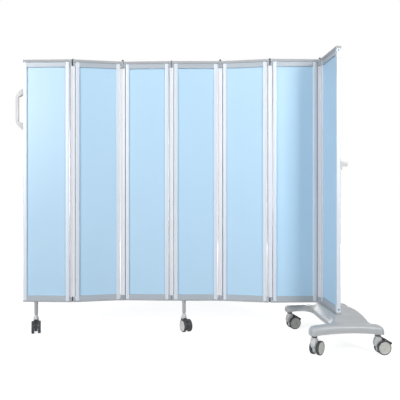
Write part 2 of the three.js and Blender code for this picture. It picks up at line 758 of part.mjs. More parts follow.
function legAssembly(leaf, name, turn) {
  const group = new THREE.Group();
  group.name = `swivel_${name}`;
  group.position.set(legPlace(leaf), 0, 0);
  group.add(legTube(`${name}_tube`));
  const caster = new THREE.Group();
  caster.position.z = -floorGap;
  caster.rotation.z = radians(turn);
  const stemTop = legHousingTop + legStemLength;
  caster.add(casterBody(`${name}_caster_body`, legHousingTop, stemTop, 0, casterBlack()));
  caster.add(wheelPair(`${name}_wheels`, casterBlack()));
  group.add(caster);
  return group;
}

function leafAssembly(leaf) {
  const ends = leafEnds(leaf);
  const group = new THREE.Group();
  group.name = `leaf_${leaf}`;
  const left = stile(`leaf_${leaf}_left_stile`);
  left.position.x = ends.stileLeft;
  const isLast = leaf === leafCount;
  const right = isLast ? frontStile() : stile(`leaf_${leaf}_right_stile`);
  right.position.x = ends.stileRight;
  right.rotation.z = isLast ? 0 : Math.PI;
  group.add(left, right, rail(leaf, true), rail(leaf, false), sheet(leaf));
  if (leaf > 1) {
    group.add(hingeStrip(leaf - 1));
  }
  if (leaf === 1) {
    group.add(handle(), legAssembly(leaf, 'outer_leg', outerLegTurn));
  }
  if (leaf === middleLegLeaf) {
    group.add(legAssembly(leaf, 'middle_leg', middleLegTurn));
  }
  return group;
}

// Each leaf hangs on the next one, in a group that turns about their hinge
function leafChain() {
  const last = leafAssembly(leafCount);
  last.position.set(0, leafPitch / 2, floorGap);
  last.rotation.z = -Math.PI / 2;
  let carrier = last;
  for (let leaf = leafCount - 1; leaf >= 1; leaf -= 1) {
    const hinge = new THREE.Group();
    hinge.name = `hinge_${leaf}`;
    hinge.position.set(0, axisY(leaf), 0);
    hinge.rotation.z = (onFront(leaf) ? 1 : -1) * radians(restFolds[leaf - 1]);
    const next = leafAssembly(leaf);
    next.position.set(-leafPitch, -axisY(leaf), 0);
    hinge.add(next);
    carrier.add(hinge);
    carrier = next;
  }
  return last;
}

const screen = new THREE.Group();
screen.name = 'ward_privacy_screen';
screen.add(baseAssembly(), leafChain());
screen.updateMatrixWorld(true);

// The origin is on the floor, in the middle of the whole screen's footprint
const bounds = new THREE.Box3().setFromObject(screen);
const centre = bounds.getCenter(new THREE.Vector3());
screen.position.set(-centre.x, -centre.y, -bounds.min.z);
screen.updateMatrixWorld(true);

export default screen;
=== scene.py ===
"""A ward privacy screen on wheels: seven framed plastic leaves on hinges, one of them on a moulded base.

Metres in Blender. Sizes are written in millimetres, in the frame of the piece they belong to.
"""
import json
import math

import bmesh
import bpy
from mathutils import Matrix, Vector


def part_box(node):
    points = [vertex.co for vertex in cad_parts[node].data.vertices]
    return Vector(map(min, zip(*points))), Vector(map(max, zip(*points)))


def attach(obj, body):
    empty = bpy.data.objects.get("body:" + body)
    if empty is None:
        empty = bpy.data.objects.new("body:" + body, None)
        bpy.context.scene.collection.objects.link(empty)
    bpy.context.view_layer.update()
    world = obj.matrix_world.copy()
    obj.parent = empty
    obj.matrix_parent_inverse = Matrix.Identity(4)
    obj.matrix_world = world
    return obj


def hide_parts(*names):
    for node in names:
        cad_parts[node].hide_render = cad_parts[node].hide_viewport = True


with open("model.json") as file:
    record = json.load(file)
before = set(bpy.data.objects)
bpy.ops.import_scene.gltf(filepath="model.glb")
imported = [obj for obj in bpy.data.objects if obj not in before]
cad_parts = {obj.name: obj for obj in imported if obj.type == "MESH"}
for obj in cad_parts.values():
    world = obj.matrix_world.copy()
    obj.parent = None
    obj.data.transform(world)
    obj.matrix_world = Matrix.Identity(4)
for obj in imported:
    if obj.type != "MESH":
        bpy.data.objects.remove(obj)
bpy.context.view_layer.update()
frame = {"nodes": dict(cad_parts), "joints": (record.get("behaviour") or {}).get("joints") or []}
mm = 0.001


# The viewpoint of the photograph: a level camera in front of the base leaf, a little to the left of
# the screen's middle. The view is shifted instead of tilted, so the leaves' edges stay upright.
picture_width = 400
focal_length_px = 525.7
horizon_px = 188.65
camera_place = Vector((-168.9, -2959.1, 867.7)) * mm
camera_turn = math.radians(-4.2)

camera = bpy.data.objects.new("camera", bpy.data.cameras.new("camera"))
camera.data.sensor_width = 36
camera.data.lens = focal_length_px / picture_width * camera.data.sensor_width
camera.data.shift_y = (horizon_px - picture_width / 2) / picture_width
camera.location = camera_place
camera.rotation_euler = (math.pi / 2, 0, camera_turn)
bpy.context.collection.objects.link(camera)
bpy.context.scene.camera = camera
bpy.context.scene.view_settings.view_transform = "Standard"


# The studio, in metres: a white floor that keeps a soft shadow near the object, two soft lamps on the
# left in front, a smaller one on the right, whose light the base leaf keeps off its neighbour, a long
# one overhead and a wide low one behind.
surround_strength = 0.03
ceiling_strength = 0.05
floor_tone = 0.5
near_glow, far_glow = 0.84, 1.0
near_edge, far_edge = 1.2, 3.2
floor_size = 60


def linear(hex_colour):
    """An sRGB hex value as linear red, green, blue and a full alpha."""
    shares = [int(hex_colour[k:k + 2], 16) / 255 for k in (1, 3, 5)]
    return [c / 12.92 if c <= 0.04045 else ((c + 0.055) / 1.055) ** 2.4 for c in shares] + [1]


def set_inputs(tree, node, inputs):
    """Sets a node's inputs, each to a value or to another node's output."""
    for name, value in inputs.items():
        if isinstance(value, bpy.types.NodeSocket):
            tree.links.new(value, node.inputs[name])
        else:
            node.inputs[name].default_value = value


def add_node(tree, kind, inputs=None, settings=None):
    """Adds a node with its inputs, and its settings, which are its own properties."""
    made = tree.nodes.new(kind)
    for name, value in (settings or {}).items():
        setattr(made, name, value)
    set_inputs(tree, made, inputs or {})
    return made


def seen_directly(tree):
    """1 where a camera, mirror or glass ray looks straight at the surface."""
    larger = {"operation": "MAXIMUM"}
    path = add_node(tree, "ShaderNodeLightPath")
    mirrored = add_node(tree, "ShaderNodeMath",
                        {0: path.outputs["Is Camera Ray"], 1: path.outputs["Is Glossy Ray"]}, larger)
    return add_node(tree, "ShaderNodeMath",
                    {0: mirrored.outputs[0], 1: path.outputs["Is Transmission Ray"]}, larger).outputs[0]


world = bpy.data.worlds.new("studio")
world.use_nodes = True
sky_tree = world.node_tree
sky_tree.nodes.clear()
direction = add_node(sky_tree, "ShaderNodeSeparateXYZ",
                     {"Vector": add_node(sky_tree, "ShaderNodeTexCoord").outputs["Generated"]})
upward = add_node(sky_tree, "ShaderNodeMapRange",
                  {"Value": direction.outputs["Z"], "To Min": surround_strength,
                   "To Max": surround_strength + ceiling_strength})
even = add_node(sky_tree, "ShaderNodeBackground",
                {"Color": linear("#fbfdff"), "Strength": upward.outputs["Result"]})
white = add_node(sky_tree, "ShaderNodeBackground", {"Color": linear("#ffffff"), "Strength": 1})
either = add_node(sky_tree, "ShaderNodeMixShader",
                  {0: seen_directly(sky_tree), 1: even.outputs[0], 2: white.outputs[0]})
add_node(sky_tree, "ShaderNodeOutputWorld", {"Surface": either.outputs[0]})
bpy.context.scene.world = world

floor_material = bpy.data.materials.new("white_studio_floor")
floor_material.use_nodes = True
floor_tree = floor_material.node_tree
floor_tree.nodes.clear()
matt = add_node(floor_tree, "ShaderNodeBsdfDiffuse", {"Color": linear("#a4a6a8")})
shaded = add_node(floor_tree, "ShaderNodeBsdfDiffuse", {"Color": [floor_tone] * 3 + [1]})
from_middle = add_node(floor_tree, "ShaderNodeVectorMath",
                       {0: add_node(floor_tree, "ShaderNodeTexCoord").outputs["Object"]},
                       {"operation": "LENGTH"})
brighter = add_node(floor_tree, "ShaderNodeMapRange",
                    {"Value": from_middle.outputs["Value"], "From Min": near_edge, "From Max": far_edge,
                     "To Min": near_glow, "To Max": far_glow})
glow = add_node(floor_tree, "ShaderNodeEmission",
                {"Color": linear("#ffffff"), "Strength": brighter.outputs["Result"]})
seen = add_node(floor_tree, "ShaderNodeAddShader", {0: shaded.outputs[0], 1: glow.outputs[0]})
floor_mix = add_node(floor_tree, "ShaderNodeMixShader",
                     {0: seen_directly(floor_tree), 1: matt.outputs[0], 2: seen.outputs[0]})
add_node(floor_tree, "ShaderNodeOutputMaterial", {"Surface": floor_mix.outputs[0]})

floor_mesh = bpy.data.meshes.new("floor")
floor_corners = [(x * floor_size / 2, y * floor_size / 2, 0) for x, y in ((-1, -1), (1, -1), (1, 1), (-1, 1))]
floor_mesh.from_pydata(floor_corners, [], [(0, 1, 2, 3)])
floor_mesh.materials.append(floor_material)
floor = bpy.data.objects.new("floor", floor_mesh)
bpy.context.collection.objects.link(floor)

for lamp_name, place, aim, width, height, watts in (
    ("far_left_softbox", (-6.65, -4.39, 2.6), (-0.1, 0.2, 0.9), 2.6, 2.6, 105),
    ("left_softbox", (-4.1, -4.0, 2.3), (-0.1, 0.2, 1.1), 2.0, 2.0, 158),
    ("right_softbox", (2.0, -2.5, 2.0), (0.2, 0.2, 1.5), 0.75, 1.0, 58),
    ("overhead_strip", (-0.1, -1.4, 3.2), (-0.1, 0.1, 1.0), 4.4, 0.8, 18),
    ("rear_softbox", (0.6, 5.4, 1.1), (-0.1, 0.2, 0.9), 3.6, 1.6, 120),
):
    lamp = bpy.data.objects.new(lamp_name, bpy.data.lights.new(lamp_name, "AREA"))
    lamp.data.shape = "RECTANGLE"
    lamp.data.size = width
    lamp.data.size_y = height
    lamp.data.energy = watts
    lamp.location = place
    lamp.rotation_euler = (Vector(aim) - Vector(place)).to_track_quat("-Z", "Y").to_euler()
    bpy.context.collection.objects.link(lamp)


# The base cover: one ABS moulding, two arched cross arms joined by a crest under the base leaf and a
# deck that falls away to the right. It is a thin shell, open underneath, with soft blends throughout.
arm_centre = 264
arm_half_width = 36
arm_reach = 195
arm_tops = {1: 148.5, -1: 150}  # 1 is the rear arm, -1 the front one
top_rises = {1: 2, -1: 13}  # how much higher its middle is than its ends
arm_end_round = 27
arm_edge_round = 19
rim_height = 108
arch_rise = 14
bay_edge = 56
bay_fillet = 90
deck_edge = 164
deck_edge_height = 173
deck_dome_share = 2 / 3
deck_shoulder = 24
shoulder_share = 0.35
shoulder_drop = 0.25
slope_fall = [(0, 1), (0.35, 0.85), (0.65, 0.6)]  # share of the way out, share of the crest's height left
flank_rise = [(0, 0.12), (0.12, 0.35)]  # share of the way in to the ledge, share of the way up
flank_brow = 0.08
crest_height = 184.7
crest_half_width = 15
ledge_width = 14
ledge_round = 5
leaf_half_length = 148.5
cover_skirt = 24
cover_wall = 3.5
cover_voxel = 3
cover_smoothing = 9


def material_for(name):
    """A new material with an empty surface shader, and the place on the object to draw patterns by."""
    material = bpy.data.materials.new(name)
    material.use_nodes = True
    tree = material.node_tree
    tree.nodes.clear()
    shader = add_node(tree, "ShaderNodeBsdfPrincipled")
    add_node(tree, "ShaderNodeOutputMaterial", {"Surface": shader.outputs[0]})
    place = add_node(tree, "ShaderNodeTexCoord").outputs["Object"]
    return material, tree, shader, place


def noise(tree, place, size_mm, detail, roughness=0.5):
    """A noise pattern about size_mm across."""
    return add_node(tree, "ShaderNodeTexNoise",
                    {"Vector": place, "Scale": 1 / (size_mm * mm), "Detail": detail,
                     "Roughness": roughness}).outputs["Fac"]


def stretched(tree, place, scale):
    """The place with its axes scaled, which draws a pattern out along the axis with the least scale."""
    return add_node(tree, "ShaderNodeMapping", {"Vector": place, "Scale": scale}).outputs["Vector"]


def tinted(tree, pattern, colour, shade):
    """The pattern as a colour, from colour to shade."""
    return add_node(tree, "ShaderNodeMix", {"Factor": pattern, "A": linear(colour), "B": linear(shade)},
                    {"data_type": "RGBA"}).outputs["Result"]


def between(tree, pattern, low, high):
    """The pattern as a number, from low to high."""
    return add_node(tree, "ShaderNodeMapRange",
                    {"Value": pattern, "To Min": low, "To Max": high}).outputs["Result"]


def relief(tree, pattern, depth_mm, strength):
    """The pattern as a bump, from 0 to depth_mm high."""
    return add_node(tree, "ShaderNodeBump",
                    {"Height": pattern, "Distance": depth_mm * mm, "Strength": strength}).outputs["Normal"]


def moulded_plastic(name, colour, shade, roughness, ior, grain_mm, grain_depth_mm):
    """Injection moulded plastic: a slow mottle in the tint, and the fine grain of a spark-eroded tool.
    A grain too fine to show is drawn as coarse as grain_mm, so that it breaks up the reflections."""
    mottle_mm = 90
    material, tree, shader, place = material_for(name)
    mottle = noise(tree, place, mottle_mm, detail=3, roughness=0.55)
    grain = noise(tree, place, grain_mm, detail=2)
    set_inputs(tree, shader, {"Base Color": tinted(tree, mottle, colour, shade),
                              "Roughness": between(tree, mottle, roughness - 0.05, roughness + 0.07),
                              "Normal": relief(tree, grain, grain_depth_mm, 0.6), "IOR": ior})
    return material


def fill_mesh(mesh, solids):
    """Fills a mesh with closed solids, each of them points in mm and faces."""
    made = bmesh.new()
    for points, faces in solids:
        verts = [made.verts.new(Vector(p) * mm) for p in points]
        for face in faces:
            made.faces.new([verts[k] for k in face])
    bmesh.ops.recalc_face_normals(made, faces=made.faces)
    made.to_mesh(mesh)
    made.free()


def add_piece(name, solids, material, body, replaced=(), place=Matrix.Identity(4), crease=35):
    """One object from closed solids. Edges sharper than crease, in degrees, stay sharp."""
    mesh = bpy.data.meshes.new(name)
    fill_mesh(mesh, solids)
    mesh.transform(place)
    mesh.shade_smooth()
    mesh.set_sharp_from_angle(angle=math.radians(crease))
    mesh.materials.append(material)
    piece = bpy.data.objects.new(name, mesh)
    bpy.context.collection.objects.link(piece)
    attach(piece, body)
    if replaced:
        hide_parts(*replaced)
    return piece


def lofted(sections):
    """A closed solid through a row of closed sections with as many points each."""
    count = len(sections[0])
    points = [p for section in sections for p in section]
    faces = [(s * count + k, s * count + (k + 1) % count,
              (s + 1) * count + (k + 1) % count, (s + 1) * count + k)
             for s in range(len(sections) - 1) for k in range(count)]
    last = (len(sections) - 1) * count
    return points, faces + [tuple(range(count))[::-1], tuple(range(last, last + count))]


def flowing(points, steps=6):
    """A smooth line through the points, with steps pieces between each two."""
    ends = [points[0], *points, points[-1]]
    line = []
    for before, a, b, after in zip(ends, ends[1:], ends[2:], ends[3:]):
        for k in range(steps):
            t = k / steps
            line.append(tuple(0.5 * (2 * q + (r - p) * t + (2 * p - 5 * q + 4 * r - s) * t ** 2
                                     + (3 * q - p - 3 * r + s) * t ** 3)
                              for p, q, r, s in zip(before, a, b, after)))
    return line + [points[-1]]


def rim_at(x):
    """The height of the cover's lower edge, one arch across the whole base."""
    return rim_height + arch_rise * (1 - (x / arm_reach) ** 2)


def arm_section(x, end):
    """A cross arm cut square to its length."""
    from_end = min(1, (arm_reach - abs(x)) / arm_end_round)
    swell = math.sqrt(1 - (1 - from_end) ** 2)
    high = arm_tops[end] + top_rises[end] * (1 - (x / arm_reach) ** 2) - arm_edge_round * (1 - swell)
    width = arm_half_width - arm_end_round / 2 * (1 - swell)
    angles = [math.radians(90 * k / 8) for k in range(9)]
    corner = [(width - arm_edge_round * (1 - math.cos(a)), high - arm_edge_round * (1 - math.sin(a)))
              for a in angles]
    low = rim_at(x) - cover_skirt
    outline = [(width, low), *corner, *[(-y, z) for y, z in reversed(corner)], (-width, low)]
    return [(x, end * arm_centre + y, z) for y, z in outline]


def deck_section(y):
    """The crest, the left flank and the deck, cut across the leaf at one place along it."""
    flare_start = arm_centre - arm_half_width - bay_fillet
    into = min(bay_fillet, max(0, abs(y) - flare_start))
    flare = bay_fillet - math.sqrt(bay_fillet ** 2 - into ** 2)
    past = min(1, max(0, abs(y) - leaf_half_length) / (arm_centre - leaf_half_length))
    ease = past * past * (3 - 2 * past)
    end = 1 if y > 0 else -1
    arm_top = arm_tops[end]
    arm_middle = arm_top + top_rises[end] - arm_edge_round / 3
    crest = crest_height + (arm_middle - crest_height) * ease
    domed = max(0, 1 - (y / (arm_centre * deck_dome_share)) ** 2)
    deck = arm_top + (deck_edge_height - arm_top) * domed
    left = -(bay_edge + flare)
    ledge = -crest_half_width - ledge_width
    foot = rim_at(left)
    flank = [(left + (ledge - left) * inwards, foot + (crest - foot) * up) for inwards, up in flank_rise]
    flank += [(ledge - flare / 2, crest - (crest - foot) * flank_brow), (ledge + ledge_round, crest)]
    width = deck_edge - crest_half_width
    slope = [(crest_half_width + width * outwards, deck + (crest - deck) * left_over)
             for outwards, left_over in slope_fall]
    slope += [(deck_edge - deck_shoulder, deck + (crest - deck) * shoulder_drop),
              (deck_edge - deck_shoulder * shoulder_share, deck - deck_shoulder * shoulder_drop),
              (deck_edge, deck - deck_shoulder)]
    outline = [(left, foot - cover_skirt), *flowing(flank), *flowing(slope), (deck_edge, foot - cover_skirt)]
    return [(x, y, z) for x, z in outline]


def melted(solids, voxel, smoothing):
    """One softened skin round several solids that overlap, as a bmesh in metres."""
    raw = bpy.data.objects.new("raw", bpy.data.meshes.new("raw"))
    fill_mesh(raw.data, solids)
    bpy.context.collection.objects.link(raw)
    melt = raw.modifiers.new("melt", "REMESH")
    melt.mode = "VOXEL"
    melt.voxel_size = voxel * mm
    soften = raw.modifiers.new("soften", "SMOOTH")
    soften.factor = 0.5
    soften.iterations = smoothing
    mesh = bpy.data.meshes.new_from_object(raw.evaluated_get(bpy.context.evaluated_depsgraph_get()))
    bpy.data.objects.remove(raw)
    skin = bmesh.new()
    skin.from_mesh(mesh)
    return skin


def moulded_shell(solids, voxel, smoothing, rim, wall):
    """A thin shell: the solids are melted into one, softened, cut open below the rim and given a wall."""
    skin = melted(solids, voxel, smoothing)
    below = [v for v in skin.verts if v.co.z < rim(v.co.x / mm) * mm]
    bmesh.ops.delete(skin, geom=below, context="VERTS")
    for vert in skin.verts:
        if vert.is_boundary:
            vert.co.z = rim(vert.co.x / mm) * mm
    inner = {v: v.co - v.normal * wall * mm for v in skin.verts}
    skin.verts.index_update()
    outer_count = len(skin.verts)
    points = [v.co / mm for v in skin.verts] + [inner[v] / mm for v in skin.verts]
    faces = [[v.index for v in f.verts] for f in skin.faces]
    faces += [[v.index + outer_count for v in reversed(f.verts)] for f in skin.faces]
    for edge in skin.edges:
        if edge.is_boundary:
            loop = edge.link_loops[0]
            a, b = loop.vert.index, loop.link_loop_next.vert.index
            faces.append([b, a, a + outer_count, b + outer_count])
    skin.free()
    return points, faces


frame_low, frame_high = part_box("base_frame")
base_place = Matrix.Translation(((frame_low.x + frame_high.x) / 2, (frame_low.y + frame_high.y) / 2, 0))
end_steps = [arm_reach - arm_end_round * (1 - math.cos(math.radians(a))) for a in range(0, 91, 10)]
arm_steps = [*end_steps, *[arm_reach * share for share in (0.75, 0.62, 0.5, 0.37, 0.25, 0.12)]]
arm_steps = [*[-x for x in arm_steps], 0, *reversed(arm_steps)]
deck_steps = [arm_centre * k / 24 for k in range(-24, 25)]
satin_abs = moulded_plastic("satin_grey_abs", "#bcbfc1", "#b3b6b9", roughness=0.36, ior=1.53,
                            grain_mm=2.4, grain_depth_mm=0.05)
cover_solids = [lofted([arm_section(x, end) for x in arm_steps]) for end in (-1, 1)]
cover_solids.append(lofted([deck_section(y) for y in deck_steps]))
cover_shell = moulded_shell(cover_solids, cover_voxel, cover_smoothing, rim_at, cover_wall)
add_piece("base_shell", [cover_shell], satin_abs, "base", ["base_cover"], base_place, 50)


# The frame inside the cover: square steel tube welded in an H, sprayed grey, with two studs up into
# the leaf. Powder coat gives it a fine orange peel.
def powder_coated_steel(name, colour, shade, roughness):
    """Steel under baked powder: a slight orange peel about 3 mm across."""
    peel_mm = 3
    material, tree, shader, place = material_for(name)
    peel = noise(tree, place, peel_mm, detail=1)
    set_inputs(tree, shader, {"Base Color": tinted(tree, peel, colour, shade), "Roughness": roughness,
                              "Normal": relief(tree, peel, 0.04, 0.5), "IOR": 1.5})
    return material


def finish_node(node, material):
    """Gives a CAD node its finish."""
    mesh = frame["nodes"][node].data
    mesh.materials.clear()
    mesh.materials.append(material)


grey_powder_coat = powder_coated_steel("grey_powder_coat", "#8b8f94", "#83878c", roughness=0.45)
finish_node("base_frame", grey_powder_coat)


# The casters: two soft tyres on nylon hubs either side of a nylon body that swivels on a steel stem.
# Those of the base are light grey with a rubber seal, two of them with a black brake pedal. Those of
# the legs have a black hood, cut off lower, under a grey neck.
wheel_radius = 37.5
wheel_inner = 10
wheel_outer = 27
tread_round = 4
tread_groove_half = 1.2
tread_groove_depth = 0.7
bead_depth = 2
hub_radius = 32.5
axle_radius = 5
axle_inner_end = 3
hub_face = [(0, 0.9), (0.9, 0), (3.5, 0), (4.3, 0.7), (6, 0.9)]  # distance from the edge, depth of the dish
boss_face = [(9, 1.6), (8.2, 0.6), (7, 0.1), (0, 0)]  # radius, depth of the dish
caster_trail = 27
core_half_width = 9
core_top = 80
core_bottom = 17
core_heel_radius = 35.5
core_heel_start = 172
fender_radius = 33
fender_angles = (-35, 80)
hood_backs = [(41, 12), (45, 18), (50, 22), (57, 24),
              (66, 23), (75, 20), (84, 16.5), (90, 13)]  # height, reach behind the stem
hood_widening = 7.5
hood_corner = 6
hood_wheel_gap = 1.5
dimple_height = 56
dimple_half_height = 9
dimple_half_width = 6.5
dimple_depth = 1.6
leg_hood_top = 78
caster_voxel = 1.3
caster_smoothing = 4
housing_low_radius = 16
housing_low = 72
base_neck, base_neck_radius, base_housing_top = 92.5, 12, 106
leg_neck, leg_neck_radius, leg_housing_top = 102, 9, 107
stem_radius = 5.5
nut_radius = 9
nut_top = 121.7
seal_low = 96
seal_high = 101
seal_bore = 11
seal_radius = 15.5
pedal_width = 22
pedal_barrel = 4.6
pedal_knob = 6.8
pedal_tyre_gap = 0.9
pedal_knob_lift = 0.6
pedal_line = 3.2
pedal_crown = 1.2
pedal_rib = 0.8
pedal_tip_angle = math.radians(25)


def revolved(profile, steps=48):
    """A turned solid about Z, from (radius, height) points that start and end on the axis."""
    rows = profile[1:-1]
    points = [(r * math.cos(2 * math.pi * k / steps), r * math.sin(2 * math.pi * k / steps), z)
              for r, z in rows for k in range(steps)]
    points += [(0, 0, profile[0][1]), (0, 0, profile[-1][1])]
    foot, top = len(points) - 2, len(points) - 1
    faces = []
    for row in range(len(rows) - 1):
        for k in range(steps):
            a, b = row * steps + k, row * steps + (k + 1) % steps
            faces.append((a, b, b + steps, a + steps))
    last = (len(rows) - 1) * steps
    for k in range(steps):
        faces.append((foot, (k + 1) % steps, k))
        faces.append((top, last + k, last + (k + 1) % steps))
    return points, faces


def ring(profile, steps=48):
    """A turned ring about Z, from (radius, height) points all round its section."""
    points = [(r * math.cos(2 * math.pi * k / steps), r * math.sin(2 * math.pi * k / steps), z)
              for k in range(steps) for r, z in profile]
    count = len(profile)
    faces = [(s * count + k, s * count + (k + 1) % count, (s + 1) % steps * count + (k + 1) % count,
              (s + 1) % steps * count + k) for s in range(steps) for k in range(count)]
    return points, faces


def arc(centre, radius, start, end, steps):
    """Points along an arc, its angles in degrees."""
    angles = [math.radians(start + (end - start) * k / steps) for k in range(steps + 1)]
    return [(centre[0] + radius * math.cos(a), centre[1] + radius * math.sin(a)) for a in angles]


def moved(solid, matrix):
    """A solid after a turn or a move."""
    points, faces = solid
    return [tuple(matrix @ Vector(p)) for p in points], faces


def plate(outline, low, high, rim=0.0, segments=2):
    """An outline drawn out along Z, its two rims rounded off."""
    made = bmesh.new()
    foot = [made.verts.new((x, y, low)) for x, y in outline]
    top = [made.verts.new((x, y, high)) for x, y in outline]
    count = len(outline)
    made.faces.new(foot[::-1])
    made.faces.new(top)
    for k in range(count):
        made.faces.new((foot[k], foot[(k + 1) % count], top[(k + 1) % count], top[k]))
    if rim > 0:
        rims = [e for e in made.edges if abs(e.verts[0].co.z - e.verts[1].co.z) < (high - low) / 2]
        bmesh.ops.bevel(made, geom=rims, offset=rim, segments=segments, profile=0.5, affect="EDGES",
                        clamp_overlap=True)
    made.verts.index_update()
    points = [tuple(v.co) for v in made.verts]
    faces = [[v.index for v in f.verts] for f in made.faces]
    made.free()
    return points, faces


upright_xz = Matrix.Rotation(math.pi / 2, 4, "X")
caster_names = ["rear_left", "rear_right", "front_left", "front_right", "middle_leg", "outer_leg"]
joint_places = {joint["name"]: Vector(joint["pos_m"]) for joint in frame["joints"]}

thermoplastic_rubber = moulded_plastic("thermoplastic_rubber", "#45474b", "#3b3d41", roughness=0.62,
                                       ior=1.5, grain_mm=1.6, grain_depth_mm=0.08)
nylon = {"ior": 1.53, "grain_mm": 2.0, "grain_depth_mm": 0.04}
hub_nylon = moulded_plastic("hub_nylon", "#d0d1ca", "#c8c9c2", roughness=0.42, **nylon)
leg_hub_nylon = moulded_plastic("leg_hub_nylon", "#e2e2df", "#dadad7", roughness=0.42, **nylon)
grey_nylon = moulded_plastic("grey_nylon", "#d0d2d2", "#c7c9c9", roughness=0.4, **nylon)
black_nylon = moulded_plastic("black_nylon", "#27292c", "#1f2123", roughness=0.38, **nylon)


def plated_steel(name, colour, roughness):
    """Zinc-plated or blackened steel: a faint cloudiness about 12 mm across from the bath."""
    cloud_mm = 12
    material, tree, shader, place = material_for(name)
    cloud = noise(tree, place, cloud_mm, detail=3)
    set_inputs(tree, shader, {"Base Color": linear(colour), "Metallic": 1,
                              "Roughness": between(tree, cloud, roughness - 0.06, roughness + 0.08)})
    return material


zinc_plated_steel = plated_steel("zinc_plated_steel", "#c9ccd0", roughness=0.3)


def tyre(side):
    """One tyre: a rounded tread with a shallow groove round its middle, and a bead that holds the hub."""
    near, far = wheel_inner, wheel_outer
    middle = (near + far) / 2
    tread = [*arc((wheel_radius - tread_round, far - tread_round), tread_round, 90, 0, 5),
             (wheel_radius, middle + tread_groove_half), (wheel_radius - tread_groove_depth, middle),
             (wheel_radius, middle - tread_groove_half),
             *arc((wheel_radius - tread_round, near + tread_round), tread_round, 0, -90, 5)]
    bead = [(hub_radius, near), (hub_radius - bead_depth, middle), (hub_radius, far - 0.6)]
    return ring([(r, side * z) for r, z in [*tread, *bead]], 64)


def hub(side):
    """One hub: a flat cover disc let into the tyre, with a shallow dish and a low boss over the axle."""
    edge = hub_radius - 0.4
    profile = [(0, axle_inner_end), (axle_radius, axle_inner_end), (axle_radius, wheel_inner),
               (edge - 1, wheel_inner), (edge, wheel_inner + 1),
               *[(edge - inwards, wheel_outer - dished) for inwards, dished in hub_face],
               *[(radius, wheel_outer - dished) for radius, dished in boss_face]]
    return revolved([(r, side * z) for r, z in profile], 64)


def caster_core():
    """The web between the wheels, seen from the side: round the axle, cut flat underneath."""
    axle = (caster_trail, wheel_radius)
    low = math.degrees(math.asin((wheel_radius - core_bottom) / core_heel_radius))
    return [(-hood_backs[-1][1], core_top), *arc(axle, core_heel_radius, core_heel_start, 180 + low, 14),
            *arc(axle, fender_radius, *fender_angles, 16), (housing_low_radius, core_top)]


def hood_section(z, back):
    """The mudguard over the backs of the wheels, cut level: widest at the top, with a thumb dimple
    in its back."""
    share = (z - hood_backs[0][0]) / (hood_backs[-1][0] - hood_backs[0][0])
    half = core_half_width + hood_widening * min(1, share * 1.1) ** 0.8
    clear = wheel_radius + hood_wheel_gap
    up = min(clear, abs(z - wheel_radius))
    front = max(min(housing_low_radius - 2, caster_trail - math.sqrt(clear ** 2 - up ** 2)), 5 - back)
    corner = min(hood_corner, (front + back) * 0.6)
    side = arc((corner - back, half - corner), corner, 90, 180, 5)
    across = [half - corner - 2 * (half - corner) * k / 8 for k in range(1, 8)]
    high = ((z - dimple_height) / dimple_half_height) ** 2
    dimple = [(dimple_depth * max(0, 1 - (y / dimple_half_width) ** 2 - high) - back, y) for y in across]
    mirrored = [(x, -y) for x, y in reversed(side)]
    return [(x, y, z) for x, y in [(front, half), *side, *dimple, *mirrored, (front, -half)]]


def brake_pedal(pivot_x, pivot_z):
    """The pedal from the side: a barrel on the cone, a wedge that follows the tyre, and a thick
    rounded tip. Its top is slightly crowned and has ribs for the shoe."""
    axle = Vector((caster_trail, wheel_radius))
    pivot = Vector((pivot_x, pivot_z))
    tip_from_axle = wheel_radius + pedal_tyre_gap + pedal_knob + pedal_knob_lift
    tip = axle + tip_from_axle * Vector((math.cos(pedal_tip_angle), math.sin(pedal_tip_angle)))
    over_tyre = arc(axle, wheel_radius + pedal_tyre_gap, 98, 32, 16)
    start, end = pivot + Vector((3, pedal_line)), tip + Vector((-3, pedal_knob - 0.4))
    shares = [k / 12 for k in range(12, 0, -1)]
    top = [tuple(start.lerp(end, t) + Vector((0, pedal_crown * math.sin(math.pi * t)))) for t in shares]
    ribs = [(x, z + (pedal_rib if 2 <= k <= 8 and k % 2 else 0)) for k, (x, z) in enumerate(top)]
    outline = [*arc(pivot, pedal_barrel, 75, 255, 12), *over_tyre, *arc(tip, pedal_knob, -120, 100, 14),
               *ribs]
    return moved(plate(outline, -pedal_width / 2, pedal_width / 2, 0.9), upright_xz)


